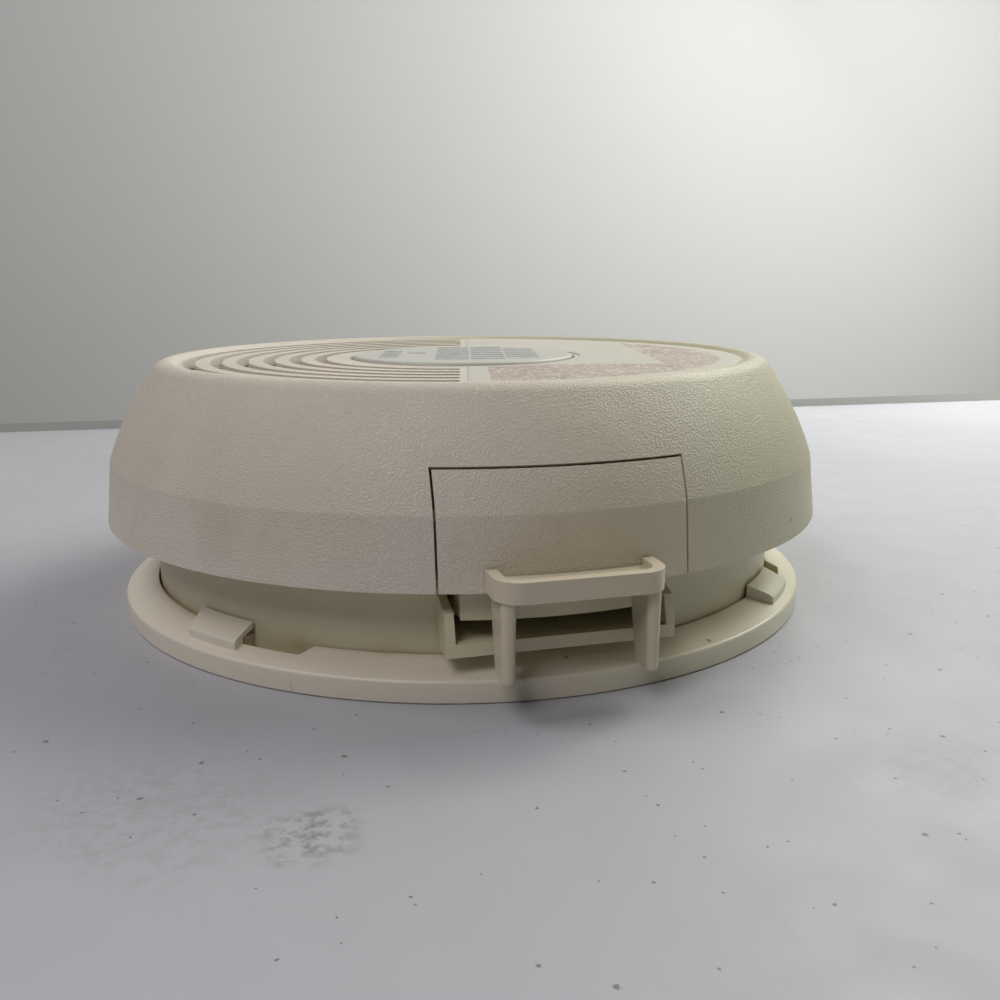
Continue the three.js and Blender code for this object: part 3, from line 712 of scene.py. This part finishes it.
def cover_rows():
    """The cover's outline, from the hem up the flank, over the rim and in to the button's hole."""
    opening = flank_share(DOOR_TOP + DOOR_GAP)
    shares = [0.0, 0.012, 0.05, 0.14, 0.24, 0.34, opening, 0.5, 0.6, 0.7, 0.8, 0.9, 0.97]
    rows = belt_rows() + [flank_point(share) for share in shares]
    start = math.atan2(SHOULDER[1] - RIM[1], SHOULDER[0] - RIM[0])
    for angle in steps(start, math.pi / 2, RIM_STEPS):
        rows.append((RIM[0] + RIM_RADIUS * math.cos(angle), RIM[1] + RIM_RADIUS * math.sin(angle)))
    drop = CREST_TOP - FACE
    rows += [(58.9, CREST_TOP - 0.03 * drop), (58.45, CREST_TOP - 0.2 * drop), (58.0, CREST_TOP - 0.5 * drop)]
    rows += [(RECESS, CREST_TOP - 0.85 * drop), (57.2, FACE)]
    for i in range(SLOT_COUNT):
        outer = SLOT_FIRST - i * SLOT_PITCH
        rows += [(outer, FACE), (outer - SLOT_WIDTH, FACE)]
    return rows + [(BUTTON_HOLE + 1, FACE), (BUTTON_HOLE, FACE)]


def cover_turns(radius):
    """Turns of the cover's columns: some follow the drawer opening's sides and the ends of the slots."""
    door = half_turn(DOOR_HALF + DOOR_GAP, max(radius, RIM[0]))
    end = half_turn(SLOT_INSET, radius)
    knots = (SPLIT - 180 + end, -door, SPLIT - end, door, SPLIT + 180 + end)
    turns = []
    for first, last, count in zip(knots, knots[1:], COVER_STEPS):
        turns += steps(first, last, count)[:-1]
    return turns


def build_cover():
    rows = cover_rows()
    slot_rows = {i for i, row in enumerate(rows) for k in range(SLOT_COUNT)
                 if abs(row[0] - (SLOT_FIRST - k * SLOT_PITCH)) < 1e-6 and row[1] == FACE}
    grille = range(0, COVER_STEPS[0] + COVER_STEPS[1])
    opening = range(COVER_STEPS[0], sum(COVER_STEPS[:3]))

    def keep(i, j):
        if i in slot_rows and j in grille:
            return False
        return not (j in opening and rows[i + 1][1] < DOOR_TOP + DOOR_GAP + 0.01 and rows[i][0] > RECESS)

    shell = revolve("cover_shell", rows, cover_turns, keep)
    finish_piece(shell, cover_plastic, "head", ["cover"], bevel=0.2, wall=WALL, angle=50)
    top = FACE - WALL + 0.1
    for k in range(SPOKES):
        turn = SPLIT - 8 - 164 * k / (SPOKES - 1)
        (ax, ay), (bx, by) = polar(BUTTON_HOLE + 1.9, turn), polar(58, turn)
        sx, sy = polar(SPOKE_HALF, turn + 90)
        outline = [(ax - sx, ay - sy), (bx - sx, by - sy), (bx + sx, by + sy), (ax + sx, ay + sy)]
        spoke = outward(new_object(f"grille_spoke_{k + 1}", *prism(outline, top - SPOKE_DEPTH, top)))
        finish_piece(spoke, cover_plastic, "head", bevel=0.2)


# ---- label and test button ----
def label_turns(radius):
    edge = half_turn(LABEL_INSET, radius)
    return steps(SPLIT + edge, SPLIT + 180 - edge, 120)


def build_label():
    rows = [(radius, FACE + 0.14) for radius in steps(LABEL_OUTER, LABEL_INNER, 14)]
    film = revolve("label_sheet", rows, label_turns, closed=False)
    finish_piece(film, label_film, "head", ["face_label"], wall=0.12)


def build_button():
    radius, rounding, top = BUTTON_RADIUS, BUTTON_ROUNDING, BUTTON_HIGH.z
    flange, (low, shelf) = BUTTON_HIGH.x, BUTTON_FLANGE
    rows = [(0, low), (flange, low), (flange, shelf), (radius, shelf), (radius, top - rounding)]
    for angle in steps(0.2, math.pi / 2, 5):
        out, up = rounding * math.cos(angle), rounding * math.sin(angle)
        rows.append((radius - rounding + out, top - rounding + up))
    rows += [(14, top), (0, top)]
    cap = outward(revolve("button_cap", rows, even_turns(128)))
    combine(cap, outward(new_object("boss", *column(0, 0, BUTTON_LOW.z + 6.8, low + 1, 2.4))), "UNION")
    combine(cap, outward(new_object("stem", *column(9, 12, BUTTON_LOW.z, low + 1, 1.4))), "UNION")
    finish_piece(cap, button_plastic, "button", ["test_button"])


def build_spring():
    """The return spring under the button, built as a fixed coil; the real one shortens as the button goes
    down.
    """
    low, high = corners("button_spring")
    coil, base, top = high.x - SPRING_WIRE, low.z + SPRING_WIRE, high.z - SPRING_WIRE
    sections = []
    for share in steps(0, 1, 28 * SPRING_TURNS):
        angle = 2 * math.pi * SPRING_TURNS * share
        out = Vector((math.cos(angle), math.sin(angle), 0))
        climb = Vector((-out.y, out.x, (top - base) / (2 * math.pi * SPRING_TURNS * coil))).normalized()
        centre = out * coil + Vector((0, 0, base + (top - base) * share))
        side = climb.cross(out)
        sections.append([centre + SPRING_WIRE * (out * a + side * b) for a, b in circle(10)])
    spring = outward(tube_of_sections("return_spring", sections, closed=False))
    finish_piece(spring, steel, "head", ["button_spring"])
    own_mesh(spring)


# ---- mounting ring ----
def ring_top(radius):
    """Height of the ring's sloping top."""
    slope = (RING_BORE[1] - RING_EDGE[1]) / (RING_EDGE[0] - RING_BORE[0])
    return RING_EDGE[1] + slope * (RING_EDGE[0] - radius)


def ring_inner(turn):
    """The ring's inner edge, set out at each hook's pocket and notch."""
    length = HOOK_TURN - HOOK_END + NOTCH_TURN
    for start in HOOK_STARTS:
        along = (turn - start - HOOK_END) % 360
        if along <= length + 0.9:
            rise = min(1.0, along / 0.15)
            fall = min(1.0, max(0.0, (length + 0.9 - along) / 1.8))
            share = rise * fall * fall * (3 - 2 * fall)
            return RING_BORE[0] + (POCKET_RADIUS - RING_BORE[0]) * share
    return RING_BORE[0]


def ring_turns():
    """Even turns, and extra ones at the ends of each pocket and notch."""
    turns = {round(1.5 * i, 3) for i in range(240)}
    length = HOOK_TURN - HOOK_END + NOTCH_TURN
    for start in HOOK_STARTS:
        edge = start + HOOK_END
        turns |= {round((edge + extra) % 360, 3) for extra in (0.0, 0.15)}
        turns |= {round((edge + length + extra) % 360, 3) for extra in steps(-0.9, 0.9, 12)}
    return sorted(turns)


def ring_section(turn):
    """Closed outline of the ring's section at a turn, from the outer foot over the top and back below."""
    inner = ring_inner(turn)
    edge = RING_RADIUS - RING_EDGE[0]
    low = RING_EDGE[1] - edge
    outline = [(RING_RADIUS - 0.2, 0), (RING_RADIUS, 0.2), (RING_RADIUS, low - 0.3)]
    outline += [(RING_RADIUS - edge + edge * math.cos(a), low + edge * math.sin(a))
                for a in steps(0, math.pi / 2 - 0.2, 6)]
    outline += [(radius, ring_top(radius)) for radius in (69.0, 68.0)]
    outline += [(inner + 0.35, ring_top(inner + 0.35)), (inner + 0.12, ring_top(inner + 0.2))]
    outline += [(inner, ring_top(inner) - 0.15), (inner, ring_top(inner) - 0.6), (inner, RING_SKIN + 0.3)]
    outline += [(inner - 0.3, RING_SKIN), (inner - 1.0, RING_SKIN), (56, RING_SKIN), (42, RING_SKIN)]
    outline += [(RING_OPENING + 0.2, RING_SKIN), (RING_OPENING, RING_SKIN - 0.2), (RING_OPENING, 0), (56, 0)]
    hollow = inner + 1.5
    outline += [(hollow, 0), (hollow, ring_top(hollow) - RING_SKIN)]
    outline += [(RING_HOLLOW, ring_top(RING_HOLLOW) - RING_SKIN), (RING_HOLLOW, 0)]
    return outline


def build_ring():
    sections = []
    for turn in ring_turns():
        sections.append([(*polar(radius, turn), height) for radius, height in ring_section(turn)])
    ring = outward(tube_of_sections("ring_body", sections))
    cutters = []
    for turn, distance in KEYHOLES:
        x, y = polar(distance, turn)
        entry_x, entry_y = polar(distance - KEYHOLE_RUN, turn)
        along, across = (KEYHOLE_RUN, KEYHOLE_SLOT) if turn % 180 else (KEYHOLE_SLOT, KEYHOLE_RUN)
        cutters.append(block(x - along, x + along, y - across, y + across, -1, 3))
        cutters.append(column(entry_x, entry_y, -1, 3, KEYHOLE_ENTRY))
    for cutter in cutters:
        combine(ring, outward(new_object("cutter", *cutter)), "DIFFERENCE")
    finish_piece(ring, base_plastic, "bracket", ["mounting_bracket"])


def build_hooks():
    """Each hook is a roof over the ring's pocket, closed at the end where its tab stops."""
    top = [(RING_HOLLOW, 5.55), (67.65, 6.15), (HOOK_INNER, RING_HIGH.z)]
    roof = [(66.4, 3.7), (RING_HOLLOW, 3.7), *top, (HOOK_INNER, 6.9), (66.4, 5.9)]
    closed_end = [(HOOK_INNER, 3.7), (RING_HOLLOW, 3.7), *top]
    for k, start in enumerate(HOOK_STARTS):
        parts = [turned_section(roof, start + 0.4, start + HOOK_TURN, 6, HOOK_LEAN),
                 turned_section(closed_end, start, start + HOOK_END, 1, HOOK_LEAN)]
        hook = fuse(f"twist_hook_{k + 1}", parts)
        finish_piece(hook, base_plastic, "bracket", bevel=0.22)


# ---- base housing with its drawer frame ----
def base_rows():
    """The housing's outline, from the middle of its floor up the wall and out along the flange to its lip."""
    low, lip = BASE_LOW.z, BASE_HIGH.x
    rows = [(0, low), (20, low), (40, low), (BASE_RADIUS - 0.6, low), (BASE_RADIUS - 0.17, low + 0.17)]
    wall_heights = (low + 0.6, 5.0, BAY_FLOOR[0] + 0.6, 12.0, BASE_FLANGE - 1.2)
    rows += [(BASE_RADIUS, height) for height in wall_heights]
    rows += [(BASE_RADIUS + 0.35, BASE_FLANGE - 0.35), (BASE_RADIUS + 1.2, BASE_FLANGE), (66.5, BASE_FLANGE)]
    return rows + [(lip - 0.5, BASE_FLANGE), (lip, BASE_FLANGE + 0.5), (lip, BASE_LIP)]


def base_turns(radius):
    """Turns of the housing's columns. The last of them cross the drawer's opening."""
    door = half_turn(BAY_HALF, max(radius, BASE_RADIUS))
    wall = steps(door, 360 - door, BASE_STEPS[0])[:-1]
    return wall + steps(360 - door, 360 + door, BASE_STEPS[1])[:-1]


def build_screw_well(k, x, y):
    """The recess in the housing's floor that holds the head of a cover screw."""
    low, ledge, top = BASE_LOW.z, 14.4, 16.0
    shaft, outside = 1.5, 4.4
    rows = [(SCREW_HOLE, low + 0.2), (SCREW_HOLE, ledge), (shaft, ledge)]
    rows += [(shaft, top), (outside, top), (outside, low + 0.4)]
    well = revolve(f"screw_well_{k + 1}", rows, even_turns(32))
    for vertex in well.data.vertices:
        vertex.co += Vector((x, y, 0)) * MM
    finish_piece(outward(well), housing_plastic, "head")


def build_dish():
    rows = base_rows()

    def keep(i, j):
        return not (j >= BASE_STEPS[0] and rows[i][1] >= BAY_FLOOR[0] + 0.59)

    dish = revolve("base_dish", rows, base_turns, keep)
    skin = dish.modifiers.new("wall", "SOLIDIFY")
    skin.thickness = BASE_WALL * MM
    skin.offset = -1
    inlet_low, inlet_high = corners("power_inlet")
    socket = block(inlet_low.x - 0.3, inlet_high.x + 0.3, inlet_low.y - 0.3, inlet_high.y + 0.3, 0, 6)
    combine(dish, outward(new_object("cutter", *socket)), "DIFFERENCE")
    for k in range(3):
        screw_low, screw_high = corners(f"cover_screw_{k + 1}")
        x, y = (screw_low.x + screw_high.x) / 2, (screw_low.y + screw_high.y) / 2
        combine(dish, outward(new_object("cutter", *column(x, y, 0, 6, SCREW_HOLE))), "DIFFERENCE")
        build_screw_well(k, x, y)
    finish_piece(dish, housing_plastic, "head", ["base_housing"])


def build_drawer_frame():
    """Side fins, floor, front bar, guide rails and windowed back wall of the drawer's bay."""
    outer = BAY_HALF + BAY_WALL
    inside = outer - 0.2
    fin = [(BAY_FRONT, BAY_FLOOR[0]), (BAY_BACK, BAY_FLOOR[0]), (BAY_BACK, BAY_TOP), (-61.6, BAY_TOP),
           (-61.6, 15.8), (BAY_FRONT + 1.3, 14.4), (BAY_FRONT + 0.1, 10.4)]
    parts = [side_plate(fin, BAY_HALF, outer), side_plate(fin, -outer, -BAY_HALF)]
    parts += [block(-inside, inside, BAY_FRONT, BAY_BACK - 0.2, *BAY_FLOOR)]
    parts += [block(-inside, inside, BAY_FRONT, BAY_FRONT + 1.6, BAY_FLOOR[0], BAY_BAR)]
    parts += [mirror_block(side, 14.6, BAY_HALF + 0.4, -58, -12, 10.8, 12.0) for side in (1, -1)]
    parts += [block(-inside, inside, BAY_BACK - 1.6, BAY_BACK - 0.1, 3.6, BAY_TOP - 0.2)]
    window = block(-10.5, 10.5, BAY_BACK - 3, BAY_BACK + 1, 12.4, BAY_TOP + 1)
    bay = fuse("drawer_frame", parts, [window])
    finish_piece(bay, housing_plastic, "head", bevel=0.32)


def build_twist_tabs():
    """The tabs on the housing's wall that sit under the ring's hooks."""
    section = [(BASE_RADIUS - 1, 3.4), (65.8, 3.4), (65.8, 5.7), (BASE_RADIUS - 1, 5.7)]
    for k, start in enumerate(HOOK_STARTS):
        turn = start + HOOK_END + 0.3
        tab = outward(new_object(f"twist_tab_{k + 1}", *turned_section(section, turn, turn + 8, 6)))
        finish_piece(tab, housing_plastic, "head", bevel=0.25)


def build_button_guide():
    """The sleeve that the button's boss slides in."""
    rows = [(2.9, 10), (2.9, 33), (4.4, 33), (4.4, 3.4), (0, 3.4), (0, 10)]
    guide = outward(revolve("button_guide", rows, even_turns(32)))
    finish_piece(guide, housing_plastic, "head", bevel=0.2)


# ---- battery drawer and its pull ----
def door_turns(radius):
    edge = half_turn(DOOR_HALF, radius)
    return steps(-edge, edge, 36)


def build_door():
    share = flank_share(DOOR_TOP)
    rows = belt_rows() + [flank_point(share * part) for part in (0.0, 0.03, 0.12, 0.35, 0.6, 0.8, 1.0)]
    panel = revolve("drawer_panel", rows, door_turns, closed=False)
    finish_piece(panel, cover_plastic, "drawer", ["battery_drawer"],
                 bevel=0.2, wall=WALL, angle=50)


def build_tray():
    low, back = DRAWER_LOW.z, DRAWER_HIGH.y
    floor, front = low + 1.0, 3.0 - SKIRT
    reach = half_turn(TRAY_HALF, SKIRT)
    skirt = [(SKIRT - TRAY_WALL, low), (SKIRT, low), (SKIRT, 31.6), (SKIRT - TRAY_WALL, 31.6)]
    parts = [turned_section(skirt, -reach, reach, 18)]
    parts += [block(-TRAY_HALF + 0.2, TRAY_HALF - 0.2, front, back, low + 0.05, floor)]
    parts += [mirror_block(side, TRAY_HALF - 1.6, TRAY_HALF - 0.1, front, back - 0.1, low + 0.1, 24)
              for side in (1, -1)]
    parts += [block(-TRAY_HALF + 0.3, TRAY_HALF - 0.3, back - TRAY_WALL, back - 0.2, low + 0.2, 17)]
    tray = fuse("drawer_tray", parts)
    finish_piece(tray, housing_plastic, "drawer", bevel=0.3)


def rounded_front(half, front, corner, back):
    """Anticlockwise outline of a plate whose two front corners are round, starting at its left back."""
    left = []
    for angle in steps(0, math.pi / 2, 8):
        left.append((-half + corner - corner * math.cos(angle), front + corner - corner * math.sin(angle)))
    right = [(-x, y) for x, y in reversed(left)]
    return [(-half, back), *left, *right, (half, back)]


def build_pull():
    half, front, top, tip = PULL_HIGH.x, PULL_LOW.y, PULL_HIGH.z, PULL_LOW.z
    leg_x, leg_y = PULL_LEG
    outer = rounded_front(half, front, PULL_CORNER, PULL_BACK)
    pocket = rounded_front(half - PULL_WALL, front + PULL_WALL, PULL_CORNER - PULL_WALL, PULL_BACK - 0.2)
    rim = prism(outer + pocket[::-1], PULL_BOTTOM, top)
    ledge = prism(rounded_front(half - 1, front + 1, PULL_CORNER - 1, PULL_BACK), 19.4, 20.9)
    leg = [(-69.3, 19.2), (-72.1, tip + 1.3), (-72.8, tip + 0.35), (-73.9, tip + 0.05), (leg_y, tip + 0.05),
           (leg_y, 19.2)]
    post = [(0, tip), (0.5, tip), (0.8, tip + 0.2), (0.95, tip + 0.6), (1.2, 19.3), (0, 19.3)]
    parts = [rim, ledge]
    for side in (1, -1):
        parts.append(side_plate(leg, *sorted((side * (leg_x - 0.95), side * (leg_x + 0.9)))))
        parts.append(turned_post(side * leg_x, leg_y, post))
    arc = [polar(HEM[0] + 0.1, turn) for turn in steps(-16, 16, 16)]
    behind = prism([*arc, (arc[-1][0], -60), (arc[0][0], -60)], 17.9, 26)
    pull = fuse("pull_bracket", parts, [behind])
    finish_piece(pull, pull_plastic, "drawer", ["drawer_pull"], bevel=0.3)


build_cover()
build_label()
build_button()
build_spring()
build_ring()
build_hooks()
build_dish()
build_drawer_frame()
build_twist_tabs()
build_button_guide()
build_door()
build_tray()
build_pull()


# ---- pieces that keep their CAD mesh ----
PAINTS = {
    "steel": steel, "brass": brass, "black_plastic": black_plastic, "white_plastic": white_plastic,
    "blue_sleeve": blue_sleeve, "orange_epoxy": orange_epoxy, "resistor_paint": resistor_paint,
    "red_lens": red_lens, "clear_plastic": clear_plastic, "board": board_green,
}
ROUNDED = ("battery_case", "battery_snaps", "dropper_capacitor", "filter_capacitor", "controller_chip",
           "power_inlet")


def paint_cad_nodes():
    """Materials for the CAD nodes that still show, and rounded edges on the boxy ones."""
    slots = {row["node"]: row["material_slot"] for row in frame["record"]["subparts"]}
    for name, node in frame["nodes"].items():
        if node.hide_render:
            continue
        node.data.materials.clear()
        node.data.materials.append(PAINTS[slots[name]])
        weld = node.modifiers.new("weld", "WELD")
        weld.merge_threshold = 0.00001
        if name in ROUNDED:
            edge = node.modifiers.new("edges", "BEVEL")
            edge.width = 0.35 * MM
            edge.segments = 3
            edge.limit_method = "ANGLE"
            edge.angle_limit = math.radians(35)


paint_cad_nodes()


# ---- building the camera, stage and lights ----
def aim(thing, direction, roll=0.0):
    """Points a camera or light along a direction."""
    turn = Vector(direction).to_track_quat("-Z", "Y")
    thing.rotation_mode = "QUATERNION"
    thing.rotation_quaternion = turn @ Quaternion((0, 0, 1), math.radians(roll))


def build_camera():
    lens = bpy.data.cameras.new("camera")
    lens.lens = CAMERA_LENS
    lens.sensor_width = 36.0
    lens.clip_start = 0.01
    camera = bpy.data.objects.new("camera", lens)
    camera.location = CAMERA_PLACE
    aim(camera, CAMERA_AIM, CAMERA_ROLL)
    bpy.context.scene.collection.objects.link(camera)
    bpy.context.scene.camera = camera


def area_light(name, place, target, size, power, colour):
    light = bpy.data.lights.new(name, "AREA")
    light.shape = "SQUARE"
    light.size = size
    light.energy = power
    light.color = colour
    made = bpy.data.objects.new(name, light)
    made.location = place
    aim(made, Vector(target) - Vector(place))
    bpy.context.scene.collection.objects.link(made)


def table_top(name, colour):
    """Pale table: faint scratches and mottling, scattered dark specks and a few brown scuffs."""
    made, tree, shader, place = material(name)
    drift = ramp(tree, noise(tree, place, 70, 4), 0.3, 0.7, 0.0, 0.35)
    body = blend(tree, drift, colour, tuple(0.86 * part for part in colour[:3]) + (1.0,))
    stretch = {"Vector": place, "Rotation": (0, 0, 0.6), "Scale": (1, 0.12, 1)}
    long_way = add_node(tree, "ShaderNodeMapping", stretch).outputs[0]
    streaks = ramp(tree, noise(tree, long_way, 3, 4, 0.6), 0.55, 0.8, 0.0, 0.12)
    body = blend(tree, streaks, body, rgb(150, 149, 152))
    for size, share, radius in ((8, 0.3, 0.028), (21, 0.45, 0.018), (4, 0.08, 0.04)):
        dots = calc(tree, "MULTIPLY", specks(tree, place, size, share, radius, "2D"), 0.7)
        body = blend(tree, dots, body, rgb(82, 78, 78))
    for centre, radius, strength in SCUFFS:
        broken = ramp(tree, noise(tree, place, 2.5, 5, 0.7), 0.42, 0.62, 0.0, strength)
        scuff = calc(tree, "MULTIPLY", blot(tree, place, centre, radius, 0.9), broken)
        body = blend(tree, scuff, body, rgb(104, 94, 80))
    tree.links.new(body, shader.inputs["Base Color"])
    tree.links.new(ramp(tree, noise(tree, place, 12, 4), 0.3, 0.7, 0.44, 0.58), shader.inputs["Roughness"])
    tree.links.new(bump(tree, noise(tree, place, 2.5, 4), 0.008, 0.4), shader.inputs["Normal"])
    return made


def paper(name, colour):
    """Matt card with a slight broad drift."""
    made, tree, shader, place = material(name, Roughness=0.9)
    drift = ramp(tree, noise(tree, place, 400, 2), 0.3, 0.7, 0.0, 0.1)
    body = blend(tree, drift, colour, tuple(0.86 * part for part in colour[:3]) + (1.0,))
    tree.links.new(body, shader.inputs["Base Color"])
    return made


def sheet(name, size, place, turn, paint):
    """A flat rectangle of the stage."""
    bpy.ops.mesh.primitive_plane_add(size=1)
    made = bpy.context.object
    made.name = name
    rotation = Euler(turn).to_matrix().to_4x4()
    made.data.transform(Matrix.Translation(place) @ rotation @ Matrix.Diagonal((*size, 1, 1)))
    made.data.materials.append(paint)
    return made


def build_stage():
    below = Vector((0, 0, -0.0001))
    upright = (math.pi / 2, 0, FAR_EDGE_TURN)
    flat = (0, 0, FAR_EDGE_TURN)
    floor_middle = FAR_EDGE - FAR_EDGE_OUT * FLOOR_SIZE[1] / 2 + below
    shade_strip_middle = FAR_EDGE + Vector((0, 0, SHADE_STRIP_HEIGHT / 2))
    wall_middle = FAR_EDGE + FAR_EDGE_OUT * WALL_DISTANCE + Vector((0, 0, 0.6))
    floor = sheet("floor", FLOOR_SIZE, floor_middle, flat, table_top("floor", rgb(177, 178, 183)))
    # The thin darker strip at the far edge is a painted shadow line where the table ends.
    shade_strip_paint = paper("table_shade_strip", rgb(176, 178, 172))
    edge = sheet("table_shade_strip", (FLOOR_SIZE[0], SHADE_STRIP_HEIGHT), shade_strip_middle, upright, shade_strip_paint)
    wall = sheet("backdrop", WALL_SIZE, wall_middle, upright, paper("backdrop", rgb(205, 205, 203)))


def build_light():
    world = bpy.data.worlds.new("studio")
    world.use_nodes = True
    sky = world.node_tree.nodes["Background"]
    sky.inputs["Color"].default_value = SKY
    sky.inputs["Strength"].default_value = SKY_STRENGTH
    bpy.context.scene.world = world
    for light in LIGHTS:
        area_light(*light)


build_camera()
build_stage()
build_light()
bpy.context.scene.view_settings.view_transform = "Standard"
